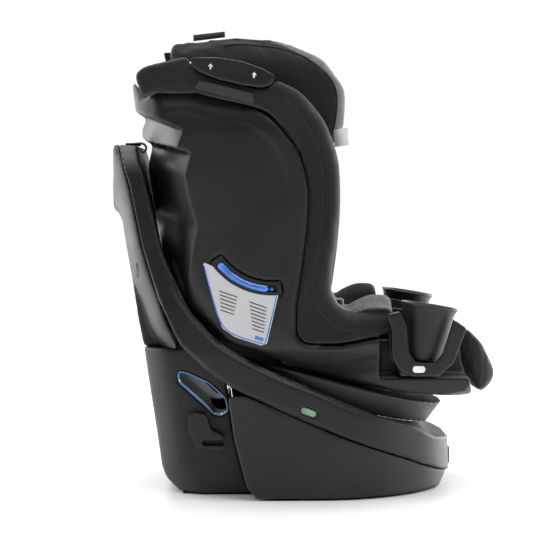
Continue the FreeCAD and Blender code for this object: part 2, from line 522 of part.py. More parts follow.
# ---------------------------------------------------------------- seat pieces
def make_seat():
    shell = seat_body(0).cut(seat_body(SEAT_WALL))
    vial_hole = arc_band(LENS_R - 9.4, LENS_R + 9.4, LENS_END[0] - 4.4, LENS_END[1] + 4.4, -BIG,
                         -VIAL_BACK + 0.3)
    shell = shell.cut(vial_hole).cut(mirrored(vial_hole))
    save("seat_shell", shell)

    runners = [rocker(RAIL_R - RUNNER_T - 0.9, RAIL_R - 0.9, side * RAIL_HALF, RAIL_W, -112.0, 112.0,
                      20.0)
               for side in (-1, 1)]
    save("recline_runners", *runners)

    foam = side_prism(inset(SHELL_SIDE, 8), BUCKET_HALF + SEAT_WALL + 0.5, VIAL_BACK - 0.4)
    foam = foam.common(box(-230, -36, 0, BIG, 262, 466))
    foam = foam.common(front_prism(SEAT_FRONT, -BIG / 2, BIG / 2, SEAT_WALL + 0.4))
    save_both("impact_foam", keep_in_sweep(foam, SEAT_WALL + 4.0))

    def slab(lower, upper, y):
        """A band along the seat floor between two heights over the bucket."""
        rise = (204.0 - 232.0) / 356.0
        ends = [-112.0, 194.0]
        low = [(x, 232.0 + rise * (x + 120.0) + lower, 2) for x in ends]
        high = [(x, 232.0 + rise * (x + 120.0) + upper, 8) for x in reversed(ends)]
        return side_prism(low + high, -y, y)
    save("seat_cushion", slab(SOFT_GAP, SEAT_PAD_T, BUCKET_HALF - SOFT_GAP).cut(cup_room(SOFT_GAP)))

    def back_line(z, ahead):
        return -180.0 - BACK_SLOPE * (z - 304.0) + ahead
    back = [(back_line(274, 0.5), 274, 2), (back_line(274, CUSHION_T), 274, 8),
            (back_line(574, CUSHION_T), 574, 8), (back_line(574, 0.5), 574, 2)]
    pad = side_prism(back, -BUCKET_HALF + SOFT_GAP, BUCKET_HALF - SOFT_GAP)
    save("back_cushion", keep_in_sweep(pad, BACK_T + SOFT_GAP))

    bolster_side = list(reversed(COVER_LINE)) + BOLSTER_FRONT + [(x, z - 0.2, r) for x, z,
                                                                 r in LIFT_LOW] + BOLSTER_TOP
    bolster = side_prism(bolster_side, -SEAT_HALF - 3 - SOFT_GAP, -BUCKET_HALF - 0.0, SOFT_GAP)
    bolster = bolster.cut(box(-BIG, BIG, -HEAD_HALF - 5, 0, 476, BIG))
    bolster = bolster.cut(box(-240, -120, -172, 0, 572, BIG))
    bolster = bolster.cut(box(92, BIG, -BIG, -188.5, 0, BIG)).cut(box(108, BIG, -BIG, 0, 0, BIG))
    save_pair("bolster", keep_in_sweep(bolster.cut(cup_cone(1.0)), SOFT_GAP))

    flap = side_prism(FLAP, -106, 106)
    flap = flap.common(plan_prism([(150, -106, 0), (262, -106, 60), (262, 106, 60), (150, 106, 0)], 100,
                                  300))
    save("front_flap", keep_in_sweep(flap))

    hull = [CRADLE[i] for i in (0, 1, 2, 3, 4, 5, 6, 7, 8, 14)]
    cradle = side_prism(CRADLE, -CRADLE_OUT, -CRADLE_OUT + 13)
    cradle = cradle.fuse(box(113, 168, -CRADLE_OUT + 6, -CRADLE_IN - 0.5, 171, 186))
    cradle = cradle.fuse(side_prism(hull, -CRADLE_IN - 6.0, -CRADLE_IN - 0.3))
    save_pair("cup_cradle", cradle.cut(cup_cone(0.8, -0.6)))
    dot = [(129.5, 185.5, 4), (129.5, 176.5, 4), (146.5, 176.5, 4), (146.5, 185.5, 4)]
    save_both("indicator_dots", side_prism(dot, -CRADLE_OUT - 0.9, -CRADLE_OUT - 0.1))

    save_pair("cup_holder", cup_cone().cut(cup_cone(-2.5, 3.0)))

    housing = arc_band(LENS_R - 9, LENS_R + 9, LENS_END[0] - 4, LENS_END[1] + 4, -SEAT_HALF - 0.8,
                       -VIAL_BACK)
    groove = arc_band(LENS_R - 5, LENS_R + 5, LENS_END[0], LENS_END[1], -BIG, -VIAL_BACK - 2)
    save_both("level_housings", housing.cut(groove))
    save_both("level_lenses", arc_band(LENS_R - 4.9, LENS_R + 4.9, LENS_END[0] + 0.1, LENS_END[1] - 0.1,
                                       -SEAT_HALF - 1.2, -SEAT_HALF + 0.4))
    ball_y = -VIAL_BACK - 2.2 - BALL_R
    save_pair("level_ball",
              Part.makeSphere(BALL_R, V(LENS_C[0], ball_y, LENS_C[1] - LENS_R - 5 + BALL_R + 0.3)))
    save_both("label_plates", side_prism(LABEL, -SEAT_HALF - 0.8, -SEAT_HALF - 0.1)
              .cut(arc_band(0.1, LENS_R + 9.4, -20, 80, -BIG, 0)))
    save_both("name_patches", side_prism(PATCH, -SEAT_HALF - 4.0, -SEAT_HALF - 3.2))

    grip = side_prism(LIFT_LOW + LIFT_TOP, -SEAT_HALF - 2, -HEAD_HALF - 8)
    save_both("lift_grips", grip)
    bar_y = HEAD_HALF + 12.5
    save("lift_yoke", tube([(-172.0, -bar_y, 596), (-224.0, -bar_y, 594), (-224.0, bar_y, 594),
                            (-172.0, bar_y, 596)], 4.0, 16.0).cut(grip).cut(mirrored(grip)))

    handle = side_prism([(168, 131.5, 2), (214, 127.5, 2), (216, 132, 2), (214, 134.7, 1),
                         (168, 137.3, 1)], -48, 48)
    save("recline_handle", handle.cut(box(188, 206, -34, 34, 100, 160)))



# ---------------------------------------------------------------- headrest
def head_line(z, ahead):
    """X of a line parallel to the headrest's rear face, this far ahead of it."""
    return -204.0 + HEAD_SLOPE * (629.0 - z) + ahead


def head_room(half, ahead):
    """The space in front of a face that stands ahead of the headrest's rear."""
    return side_prism([(head_line(440, ahead), 440, 0), (200, 440, 0), (200, 700, 0),
                       (head_line(700, ahead), 700, 0)],
                      -half, half)


def rear_block(z0, z1, back, front, y0, y1):
    """A block between two lines parallel to the headrest's rear face."""
    return side_prism([(head_line(z0, back), z0, 2), (head_line(z0, front), z0, 2),
                       (head_line(z1, front), z1, 2),
                       (head_line(z1, back), z1, 2)], y0, y1)


HEAD_FRONT = [(HEAD_HALF - 8, 470.0, 0), (HEAD_HALF, 500.0, 30), (HEAD_HALF, 600.0, 60),
              (HEAD_HALF - 26, 650.0, 20)]


def make_headrest():
    whole = side_prism(HEAD_SIDE, -HEAD_HALF,
                       HEAD_HALF).common(front_prism(HEAD_FRONT, -BIG / 2, BIG / 2))
    save("headrest_core", whole.cut(head_room(HEAD_HALF - 20, 16)))
    lining = side_prism(HEAD_SIDE, -HEAD_HALF + 20, HEAD_HALF - 20,
                        SOFT_GAP).common(head_room(BIG / 2, 16 + SOFT_GAP))
    lining = lining.cut(head_room(HEAD_INNER, 38))
    save("headrest_lining", lining)
    save("headrest_rails", *[rear_block(488, 572, -19.4, -0.1, side * 50.0 - 10, side * 50.0 + 10)
                             for side in (-1, 1)])
    save("headrest_handle", rear_block(596, 622, -13.0, -0.4, -30, 30)
         .cut(rear_block(601, 614, -20.0, 5.0, -22, 22)))


# ---------------------------------------------------------------- harness
BELT_TOP = (-150.0, 478.0)     # X and Z where a shoulder strap leaves the headrest
BELT_LOW = (-62.0, 285.0)      # X and Z of its lower end
BELT_Y = 49.0


def belt_line(t, ahead):
    """A point along the shoulder strap, this far in front of its centre line."""
    dx, dz = BELT_LOW[0] - BELT_TOP[0], BELT_LOW[1] - BELT_TOP[1]
    size = math.hypot(dx, dz)
    return (BELT_TOP[0] + dx * t - dz / size * ahead, BELT_TOP[1] + dz * t + dx / size * ahead)


def belt_band(t0, t1, back, front, y0, y1, radius=0.0):
    corners = [belt_line(t0, back), belt_line(t0, front), belt_line(t1, front), belt_line(t1, back)]
    return side_prism([(x, z, radius) for x, z in corners], y0, y1)


def pad_top(x):
    return 232.0 + (204.0 - 232.0) / 356.0 * (x + 120.0) + SEAT_PAD_T


def make_harness():
    half = STRAP_T / 2
    belt = belt_band(-0.0122, 1.0, -half, half, -BELT_Y - STRAP_W / 2, -BELT_Y + STRAP_W / 2)
    save_pair("shoulder_strap", belt)
    save_both("shoulder_pads", belt_band(0.002, 0.42, half + 0.4, half + 7.0, -BELT_Y - 25,
                                         -BELT_Y + 25, 3.0))
    clip = belt_band(0.50, 0.66, half + 0.4, half + 9.0, -74, 74, 3.0)
    clip = clip.cut(belt_band(0.53, 0.63, half + 5.0, half + 12.0, -60, -26)).cut(
        belt_band(0.53, 0.63, half + 5.0, half + 12.0, 26, 60))
    save("chest_clip", clip)

    lap_z = BUCKLE_Z - 1.0
    lap = plan_prism([(-110, -BUCKET_HALF + 0.6, 0), (-74, -BUCKET_HALF + 0.6, 0), (-62, -30, 0),
                      (-98, -30, 0)],
                     lap_z + 4.0, lap_z + 4.0 + STRAP_T)
    save_both("lap_straps", lap)
    tongue = box(-34, 9, -21, -4, BUCKLE_Z - 1.5, BUCKLE_Z + 1.5)
    tongue = tongue.cut(box(-29, -22, -18, -7, BUCKLE_Z - 5, BUCKLE_Z + 5))
    save_pair("buckle_tongue", tongue)
    body = plan_prism([(-6, -26, 4), (46, -24, 10), (46, 24, 10), (-6, 26, 4)], BUCKLE_Z - 8,
                      BUCKLE_Z + 8)
    body = body.cut(box(-20, 12, -22, 22, BUCKLE_Z - 2.2, BUCKLE_Z + 2.2))
    body = body.cut(box(19, 37, -10, 10, BUCKLE_Z + 2.5, BUCKLE_Z + 20))
    save("buckle_body", body)
    save("buckle_button", box(19.5, 36.5, -9.5, 9.5, BUCKLE_Z + 5.9, BUCKLE_Z + 9.5))
    pad = side_prism([(-14, pad_top(-14) + 0.4, 1), (84, pad_top(84) + 0.4, 1),
                      (84, pad_top(84) + 5, 3),
                      (-14, pad_top(-14) + 5, 3)], -33, 33)
    save("crotch_pad", pad.cut(box(-20, 48, -40, 40, BUCKLE_Z - 8.3, BIG)))
    strap = side_prism([(46.4, BUCKLE_Z - 2, 0), (96.0, pad_top(96) + 6.5, 0),
                        (96.0, pad_top(96) + 8.3, 0),
                        (46.4, BUCKLE_Z - 0.2, 0)], -STRAP_W / 2, STRAP_W / 2)
    save("crotch_strap", strap)

    base_z = pad_top(150)
    bezel = side_prism([(142, pad_top(142) + 0.4, 0), (180, pad_top(180) + 0.4, 0),
                        (180, base_z + 6, 3),
                        (142, base_z + 7, 3)], -17, 17)
    save("adjuster_bezel", bezel.cut(box(150, 172, -11, 11, base_z - 20, base_z + 30)))
    save("adjuster_button", box(150.5, 171.5, -10.5, 10.5, base_z + 3.4, base_z + 8.5))


make_base()
make_turntable()
make_seat()
make_headrest()
make_harness()
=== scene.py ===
# %% [markdown]
# # A rotating convertible car seat
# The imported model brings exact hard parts: the base, the turntable, the shell and the joints.
# This script gives them their looks. Hard mouldings get soft edges and a moulded grain, padded
# pieces are sewn and filled, and straps are woven. Loading the frame comes first, because every
# later piece is placed from it.

# %% Load the frame
import json
import math

import bpy
import numpy as np
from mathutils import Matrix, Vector

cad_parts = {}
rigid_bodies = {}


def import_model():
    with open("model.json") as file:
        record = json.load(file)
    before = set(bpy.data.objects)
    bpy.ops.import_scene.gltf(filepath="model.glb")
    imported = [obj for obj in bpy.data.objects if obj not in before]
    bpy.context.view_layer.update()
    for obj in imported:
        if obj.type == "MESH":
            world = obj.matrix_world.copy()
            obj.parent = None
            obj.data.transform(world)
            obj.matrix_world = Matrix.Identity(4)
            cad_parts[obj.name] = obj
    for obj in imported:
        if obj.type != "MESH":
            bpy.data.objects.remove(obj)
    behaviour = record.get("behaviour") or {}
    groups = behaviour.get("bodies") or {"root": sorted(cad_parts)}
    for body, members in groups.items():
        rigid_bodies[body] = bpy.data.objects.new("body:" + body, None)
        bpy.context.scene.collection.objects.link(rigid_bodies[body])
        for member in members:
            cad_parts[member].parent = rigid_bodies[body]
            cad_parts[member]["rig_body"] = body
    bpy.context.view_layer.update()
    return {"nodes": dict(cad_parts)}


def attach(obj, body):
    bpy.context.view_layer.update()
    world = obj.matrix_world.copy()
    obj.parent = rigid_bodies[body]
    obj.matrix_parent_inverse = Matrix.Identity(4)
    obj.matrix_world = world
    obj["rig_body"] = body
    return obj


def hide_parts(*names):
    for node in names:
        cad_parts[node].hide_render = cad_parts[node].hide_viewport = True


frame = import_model()
NODES = frame["nodes"]
MM = 0.001
WELD = 0.00002      # metres; triangle corners closer than this are one

# %% [markdown]
# ## Shader maths as ordinary maths
# A finish is a small graph of nodes. Writing `0.3 + grain * 0.1` is easier to read than four
# nodes and their wires, so one class wraps a socket and each operator adds its Math node.

# %% The socket class
class Wire:
    """An output socket that can be added, subtracted and multiplied."""

    def __init__(self, finish, socket):
        self.finish, self.socket = finish, socket

    def maths(self, operation, first, second):
        return self.finish.node("ShaderNodeMath", {"operation": operation}, {0: first, 1: second})

    def __add__(self, other):
        return self.maths("ADD", self, other)

    __radd__ = __add__

    def __sub__(self, other):
        return self.maths("SUBTRACT", self, other)

    def __rsub__(self, other):
        return self.maths("SUBTRACT", other, self)

    def __mul__(self, other):
        return self.maths("MULTIPLY", self, other)

    __rmul__ = __mul__


class Finish:
    """A material with its Principled shader; node() makes every other node."""

    def __init__(self, name, **constants):
        self.material = bpy.data.materials.new(name)
        self.material.use_nodes = True
        self.tree = self.material.node_tree
        self.shader = self.tree.nodes["Principled BSDF"]
        for socket, value in constants.items():
            self.shader.inputs[socket.replace("_", " ")].default_value = value

    def node(self, kind, settings, sockets, out=0):
        made = self.tree.nodes.new(kind)
        for key, value in settings.items():
            setattr(made, key, value)
        for key, value in sockets.items():
            self.plug(made.inputs[key], value)
        return Wire(self, made.outputs[out])

    def plug(self, socket, value):
        if isinstance(value, Wire):
            self.tree.links.new(value.socket, socket)
        else:
            socket.default_value = value

    def drive(self, **sockets):
        for socket, value in sockets.items():
            self.plug(self.shader.inputs[socket.replace("_", " ")], value)

    def place(self, scale=(1, 1, 1)):
        """Where a point is on the object, in metres times scale."""
        where = self.node("ShaderNodeTexCoord", {}, {}, "Object")
        return self.node("ShaderNodeMapping", {}, {"Vector": where, "Scale": scale})

    def noise(self, scale, detail=2.0, where=None, rough=0.5):
        sockets = {"Scale": scale, "Detail": detail, "Roughness": rough}
        sockets["Vector"] = where or self.place()
        return self.node("ShaderNodeTexNoise", {}, sockets)

    def cells(self, scale, where=None):
        return self.node("ShaderNodeTexVoronoi", {"feature": "F1"},
                         {"Scale": scale, "Vector": where or self.place()}, "Distance")

    def blend(self, share, low, high):
        return self.node("ShaderNodeMix", {"data_type": "RGBA"}, {0: share, 6: low, 7: high}, 2)

    def ramp(self, value, low, high):
        return self.node("ShaderNodeMapRange", {"interpolation_type": "SMOOTHSTEP"},
                         {"Value": value, "From Min": low, "From Max": high})

    def bump(self, height, depth):
        self.drive(Normal=self.node("ShaderNodeBump", {}, {"Height": height, "Distance": depth,
                                                           "Strength": 1.0}))


def grey(value, warm=0.0):
    return (value * (1 + warm), value, value * (1 - warm), 1)


print("shader helpers ready")

# %% [markdown]
# ## Moulded plastic
# Nearly everything hard is black polypropylene from a textured mould. A flat black would hide
# its form. The real skin has three scales: a fine grain that blurs reflections, slow changes of
# gloss where hands rub it, and pale dust in the texture. Noise gives the slow part, cells the
# grain.

# %% Plastic finishes
def moulded(name, tone, gloss, grain=2600.0, depth=0.00004, dust=0.35):
    plastic = Finish(name, IOR=1.5, Specular_IOR_Level=0.36)
    slow = plastic.noise(9.0, 4.0)
    fine = plastic.cells(grain)
    speck = plastic.noise(420.0, 2.0)
    low, high = grey(tone * (1 - dust * 0.4)), grey(tone * (1 + dust))
    colour = plastic.blend(plastic.ramp(slow * 0.75 + speck * 0.25, 0.35, 0.68), low, high)
    rubbed = plastic.ramp(slow + speck * 0.25, 0.3, 0.9)
    plastic.drive(Base_Color=colour, Roughness=rubbed * 0.14 + gloss)
    plastic.bump(fine + speck * 0.6, depth)
    return plastic.material


def gloss_plastic(name, colour, rough=0.12, swirl=0.12):
    plastic = Finish(name, IOR=1.5, Coat_Weight=0.6, Coat_Roughness=0.05)
    slow = plastic.noise(60.0, 3.0)
    dark = tuple(c * (1 - swirl) for c in colour[:3]) + (1,)
    light = tuple(min(1.0, c * (1 + swirl)) for c in colour[:3]) + (1,)
    plastic.drive(Base_Color=plastic.blend(plastic.ramp(slow, 0.3, 0.7), dark, light),
                  Roughness=slow * 0.08 + rough)
    plastic.bump(plastic.noise(900.0, 1.0), 0.00001)
    return plastic.material


FINISH = {
    "base_plastic": moulded("base moulding", 0.0145, 0.40),
    "band_plastic": moulded("band moulding", 0.0095, 0.34, 3200.0, 0.00003),
    "shell_plastic": moulded("shell moulding", 0.0105, 0.36, 3000.0, 0.00003),
    "trim_plastic": moulded("trim moulding", 0.011, 0.30, 2400.0, 0.00003),
    "blue_plastic": gloss_plastic("blue trim", (0.04, 0.20, 0.58)),
    "white_plastic": gloss_plastic("white dot", (0.80, 0.81, 0.82)),
    "green_plastic": gloss_plastic("green flag", (0.07, 0.34, 0.10)),
    "red_plastic": gloss_plastic("red button", (0.55, 0.03, 0.025)),
}
print("plastics:", ", ".join(FINISH))

# %% [markdown]
# ## Metal, rubber, foam and film
# The hidden turntable is steel. Turning marks are noise that is stretched along one direction.
# Rubber and foam are matt, with open pores for the foam. The film of the side plate is a pale
# grey with the faint fibres of its backing. A lens is a coated shader that lets light through:
# deep blue for the level, nearly clear for the window over the lock's flag.

# %% Other hard finishes
def steel(name, tone, rough, stretch):
    metal = Finish(name, Metallic=1.0)
    brushed = metal.noise(160.0, 3.0, metal.place((1, 1, stretch)))
    metal.drive(Base_Color=metal.blend(brushed, grey(tone * 0.8), grey(tone * 1.1)),
                Roughness=brushed * 0.2 + rough)
    metal.bump(brushed, 0.00002)
    return metal.material


def porous(name, tone, pore, depth, rough):
    skin = Finish(name, IOR=1.4)
    holes = skin.cells(pore)
    skin.drive(Base_Color=skin.blend(holes, grey(tone * 0.6), grey(tone * 1.3)),
               Roughness=skin.noise(80.0) * 0.1 + rough)
    skin.bump(holes, depth)
    return skin.material


def film(name, tone):
    sheet = Finish(name, IOR=1.5, Coat_Weight=0.4, Coat_Roughness=0.2)
    fibre = sheet.noise(500.0, 4.0, sheet.place((1, 1, 0.3)))
    slow = sheet.noise(24.0, 2.0)
    sheet.drive(Base_Color=sheet.blend(fibre * 0.5 + slow * 0.5, grey(tone * 0.82, -0.03),
                                       grey(tone, -0.02)),
                Roughness=fibre * 0.1 + 0.36)
    sheet.bump(fibre, 0.00001)
    return sheet.material


def clear_lens(name, colour, cover):
    lens = Finish(name, IOR=1.49, Coat_Weight=1.0, Coat_Roughness=0.02)
    haze = lens.noise(40.0, 2.0)
    deep = tuple(c * 0.55 for c in colour[:3]) + (1,)
    lens.drive(Base_Color=lens.blend(lens.ramp(haze, 0.3, 0.7), deep, colour),
               Roughness=haze * 0.05 + 0.05, Alpha=haze * 0.15 + cover)
    return lens.material


FINISH["steel"] = steel("turned steel", 0.45, 0.25, 0.05)
FINISH["bearing_steel"] = steel("bearing steel", 0.6, 0.12, 1.0)
FINISH["rubber"] = porous("grip rubber", 0.012, 1200.0, 0.0001, 0.75)
FINISH["foam"] = porous("impact foam", 0.03, 400.0, 0.0003, 0.85)
FINISH["label"] = film("plate film", 0.60)
FINISH["clear_lens"] = clear_lens("blue lens", (0.07, 0.27, 0.95, 1), 0.80)
WINDOW = clear_lens("window lens", (0.62, 0.80, 0.66, 1), 0.12)
print("now", len(FINISH), "finishes")

# %% [markdown]
# ## Knit, border and webbing
# The cover is a black knit. Its loops are about 1.3 mm apart, too small to count from a metre
# away but large enough to break up every highlight. The border round the headrest is a
# paler, coarser weave with flecks, and the bare name patch is a flat dark grey weave. The belts
# are ribbed across, from their twill. Sine waves from the Wave texture make ribs, and cells
# make loops.

# %% Fabric finishes
def knit(name, tone, loop, depth, fleck, sheen):
    cloth = Finish(name, IOR=1.4, Sheen_Weight=sheen, Sheen_Roughness=0.5)
    where = cloth.place((1.0, 0.8, 1.25))
    loops = cloth.cells(loop, where)
    threads = cloth.noise(loop * 2.2, 2.0, where)
    slow = cloth.noise(14.0, 3.0)
    flecks = cloth.ramp(cloth.noise(loop * 1.1, 1.0, where, 0.8), 0.56, 0.68)
    share = loops * 0.45 + flecks * fleck + slow * 0.35
    colour = cloth.blend(cloth.ramp(share, 0.1, 1.0), grey(tone * 0.5), grey(tone * 1.9))
    cloth.drive(Base_Color=colour, Roughness=threads * 0.12 + 0.80)
    cloth.bump(loops * 1.0 + threads * 0.5, depth)
    return cloth.material


def webbing(name, tone, rib):
    belt = Finish(name, IOR=1.45, Sheen_Weight=0.2, Sheen_Roughness=0.4)
    across = belt.node("ShaderNodeTexWave", {"wave_type": "BANDS", "bands_direction": "DIAGONAL"},
                       {"Vector": belt.place(), "Scale": rib, "Distortion": 0.3})
    threads = belt.noise(1500.0, 2.0)
    colour = belt.blend(across * 0.6 + threads * 0.4, grey(tone * 0.5), grey(tone * 1.7))
    belt.drive(Base_Color=colour, Roughness=threads * 0.15 + 0.6)
    belt.bump(across + threads * 0.4, 0.0002)
    return belt.material


FINISH["knit"] = knit("black knit", 0.0062, 820.0, 0.00035, 0.25, 0.14)
# The paler flecked weave is the headrest's real border. It is also used as a painted highlight on the lit
# top of the thighs' crests.
FINISH["border"] = knit("fleck border and painted highlight", 0.115, 640.0, 0.0004, 0.6, 0.15)
PATCH = knit("patch weave", 0.036, 900.0, 0.0002, 0.2, 0.1)
FINISH["webbing"] = webbing("belt weave", 0.016, 260.0)
for node in NODES.values():
    slot = node.data.materials[0].name.split(".")[0]
    node.data.materials[0] = FINISH[slot]
NODES["lock_windows"].data.materials[0] = WINDOW
print("every node has one of", len(FINISH), "finishes")

# %% [markdown]
# ## Lines that the shapes follow
# Seen from the side, the product is a set of clean curves: the sweeping band, the shell's back,
# the edge where the cover meets the shell. Each is kept as points in millimetres, X forward and
# Z up, and a distance from any vertex to a line lets a shape be rounded, grooved or raised along it.

# %% Curves and distances
def spline(points, step=4.0):
    """A smooth line through the points, as an array of X and Z, in parts about step long."""
    points = np.array(points, float)
    last, line = len(points) - 1, []
    for i in range(last):
        before, a, b, after = points[[max(i - 1, 0), i, i + 1, min(i + 2, last)]]
        parts = max(2, int(np.linalg.norm(b - a) / step))
        for k in range(parts):
            t = k / parts
            line.append(0.5 * (2 * a + (b - before) * t + (2 * before - 5 * a + 4 * b - after) * t * t
                               + (3 * a - before - 3 * b + after) * t ** 3))
    line.append(points[-1])
    return np.array(line)


def reach(points, line):
    """Distance in mm from each X, Z point to the line."""
    best = np.full(len(points), 1e9)
    for a, b in zip(line[:-1], line[1:]):
        along = b - a
        t = np.clip((points - a) @ along / max(along @ along, 1e-9), 0, 1)
        best = np.minimum(best, np.linalg.norm(points - a - t[:, None] * along, axis=1))
    return best


def smooth(value, low, high):
    t = np.clip((value - low) / (high - low), 0, 1)
    return t * t * (3 - 2 * t)


def roll(distance, radius):
    """How far a rounded edge falls away, by distance from the edge."""
    short = np.clip(radius - distance, 0, radius)
    return radius - np.sqrt(radius * radius - short * short)


COVER_EDGE = spline([(-238.7, 550.1), (-218.1, 558.4), (-193.2, 561.5), (-167.4, 560.6), (-83.6, 537.9),
                     (-62.9, 525.5), (-42.1, 505.9), (-25.4, 479.1), (-15.1, 448.0), (-10.9, 416.8),
                     (-13.0, 375.3), (-18.2, 329.8), (-23.2, 298.5), (-29.0, 251.4), (-27.9, 225.6),
                     (-17.3, 213.8), (3.5, 211.0), (34.5, 212.4), (72.7, 221.6), (98.7, 225.1)])
SHELL_REAR = spline([(-256.9, 586.9), (-249.4, 526.9), (-245.0, 500.2), (-232.0, 487.8), (-232.9, 470.0),
                     (-237.1, 458.1), (-234.6, 428.4), (-226.0, 388.1), (-215.6, 342.4), (-205.2, 303.7),
                     (-188.0, 262.0), (-148.0, 224.0), (-77.9, 200.2), (-30.1, 178.7), (17.8, 164.1),
                     (65.7, 151.9), (113.8, 143.4), (161.8, 138.6), (205.1, 136.0), (222.0, 138.4)])
BAND_TOP = spline([(-248.6, 486.5), (-242.1, 463.4), (-233.9, 428.7), (-224.2, 384.0), (-212.7, 342.5),
                   (-200.8, 314.5), (-192.2, 286.6), (-173.4, 258.4), (-159.4, 241.8), (-135.9, 218.3),
                   (-112.5, 201.6), (-89.0, 188.8), (-65.5, 176.9), (-42.0, 166.1), (3.8, 148.3),
                   (39.4, 130.8), (86.1, 112.8), (134.2, 97.0), (199.0, 68.0)])
BAND_SEAM = spline([(-274.9, 488.4), (-265.2, 468.0), (-257.2, 430.4), (-250.8, 402.5), (-239.5, 348.4),
                    (-228.2, 307.3), (-216.8, 276.0), (-205.8, 241.6), (-186.9, 213.8), (-166.1, 194.4),
                    (-140.0, 171.6), (-117.4, 155.0)])
BAND_LOW = spline([(-117.4, 155.0), (-100.2, 145.9), (-51.1, 126.6), (-7.7, 107.5), (27.6, 89.6),
                   (62.9, 74.2), (98.5, 61.0), (126.8, 51.4), (199.0, 18.0)])
HEAD_EDGE = spline([(-204.1, 628.8), (-171.5, 632.9), (-126.3, 639.0), (-102.1, 640.4), (-72.6, 638.4),
                    (-46.0, 634.2), (-14.5, 623.7), (10.9, 607.1), (27.7, 591.3), (38.4, 574.6),
                    (43.1, 553.6), (42.6, 532.6), (39.6, 511.6), (33.0, 491.0)])
REAR_EDGE = spline([(-253.4, 271.9), (-248.5, 242.1), (-233.8, 152.6), (-221.6, 71.8), (-216.3, 35.7),
                    (-209.2, 17.7), (-196.0, 0.0)])
BOLSTER_EDGE = spline([(-55.3, 578.5), (-36.6, 572.3), (-15.8, 555.7), (0.9, 537.1), (13.4, 518.5),
                       (19.7, 506.1), (29.0, 472.9), (33.3, 439.9), (33.3, 416.8), (31.3, 375.1),
                       (25.1, 329.6), (20.0, 295.4), (21.0, 284.5), (29.6, 269.0), (47.0, 258.5),
                       (73.0, 256.8), (93.8, 256.8)])
print("curves ready;", len(COVER_EDGE), "points along the cover's edge")

# %% [markdown]
# ## From exact solid to moulded skin
# The CAD solids have razor edges, which no moulding has. A bevel modifier would do for a box,
# but these shells have long tapering edges where bevels tangle. So a hard skin is a copy of its
# solid, rebuilt from even small faces, with its corners relaxed a little. A function then
# moves its vertices: it rolls the sides over at the rim, and presses grooves along the lines
# above. The exact solid stays in the frame for the physics.

# %% Making a skin
def coords(piece):
    flat = np.empty(len(piece.data.vertices) * 3)
    piece.data.vertices.foreach_get("co", flat)
    return flat.reshape(-1, 3) / MM


def set_coords(piece, points):
    piece.data.vertices.foreach_set("co", (points * MM).astype(np.float32).ravel())
    piece.data.update()


def settle(piece):
    """Turns the piece's modifiers into plain mesh."""
    graph = bpy.context.evaluated_depsgraph_get()
    done = bpy.data.meshes.new_from_object(piece.evaluated_get(graph))
    piece.modifiers.clear()
    piece.data = done


def add_piece(name, mesh, slot, body, *stands_for, smooth_faces=True):
    piece = bpy.data.objects.new(name, mesh)
    bpy.context.scene.collection.objects.link(piece)
    mesh.materials.clear()
    mesh.materials.append(FINISH[slot])
    mesh.polygons.foreach_set("use_smooth", [smooth_faces] * len(mesh.polygons))
    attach(piece, body)
    if stands_for:
        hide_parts(*stands_for)
    return piece


def body_of(node):
    return NODES[node]["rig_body"]


def slot_of(node):
    return next(slot for slot, finish in FINISH.items() if finish == NODES[node].data.materials[0])


def even_copy(name, node, slot, cell, relax, shrink=0.0):
    """A copy of a solid, rebuilt from faces one cell wide, relaxed, and shrunk if it is padded."""
    piece = add_piece(name, NODES[node].data.copy(), slot, body_of(node), node)
    piece.modifiers.new("weld", "WELD").merge_threshold = WELD
    even = piece.modifiers.new("even", "REMESH")
    even.mode, even.voxel_size = "VOXEL", cell * MM
    soft = piece.modifiers.new("relax", "SMOOTH")
    soft.factor, soft.iterations = 0.5, relax
    if shrink:
        inside = piece.modifiers.new("shrink", "DISPLACE")
        inside.mid_level, inside.strength = 0.0, -shrink * MM
    settle(piece)
    return piece


def reshape(piece, shape):
    """Moves the piece's points by shape(points, normals)."""
    points = coords(piece)
    normals = np.empty(points.size)
    piece.data.vertices.foreach_get("normal", normals)
    set_coords(piece, shape(points, normals.reshape(-1, 3)))


def dress(piece, slot):
    """Puts the slot's finish on the finished mesh and shades it smooth."""
    piece.data.materials.clear()
    piece.data.materials.append(FINISH[slot])
    piece.data.polygons.foreach_set("use_smooth", [True] * len(piece.data.polygons))
    print(f"{piece.name}: {len(piece.data.polygons)} faces")


def skin(name, node, cell, relax, shape=None):
    """A hard moulding: an even copy that shape has moved."""
    piece = even_copy(name, node, slot_of(node), cell, relax)
    if shape:
        reshape(piece, shape)
    dress(piece, slot_of(node))
    return piece


def wrap(distance, reach_in, depth):
    """How far a side curves away towards an edge, over a long distance, ever more steeply."""
    return depth * np.clip(1 - distance / reach_in, 0, 1) ** 2


def narrow(points, fall, inner, outer):
    """Moves the sides in by fall, fading out towards the middle of the object."""
    width = np.abs(points[:, 1])
    points[:, 1] = np.sign(points[:, 1]) * (width - fall * smooth(width, inner, outer))
    return points


# %% [markdown]
# ## The seat shell
# The shell is one large moulding. Its sides roll over into the back with a generous radius, and
# a raised lip follows the cover's edge: outside the lip the fabric tucks in, inside it the side
# is a shallow field. Both are simple functions of distance to the two lines.

# %% Shell
def shell_shape(points, normals):
    side = points[:, [0, 2]]
    rear, cover = reach(side, SHELL_REAR), reach(side, COVER_EDGE)
    back = smooth(points[:, 2], 190, 300)
    fall = (wrap(rear, 44.0, 44.0) + roll(rear, 3.0)) * back + roll(rear, 9.0) * (1 - back)
    field = smooth(cover, 22.0, 31.0) * 1.3 + 2.5 * np.exp(-((cover - 1.0) / 3.0) ** 2)
    grip = np.hypot((side[:, 0] + 203.0) / 13.0, (side[:, 1] - 466.0) / 12.0)
    return narrow(points, fall + field + 9.0 * np.exp(-grip ** 2), 100, 186)


skin("shell_skin", "seat_shell", 2.6, 7, shell_shape)

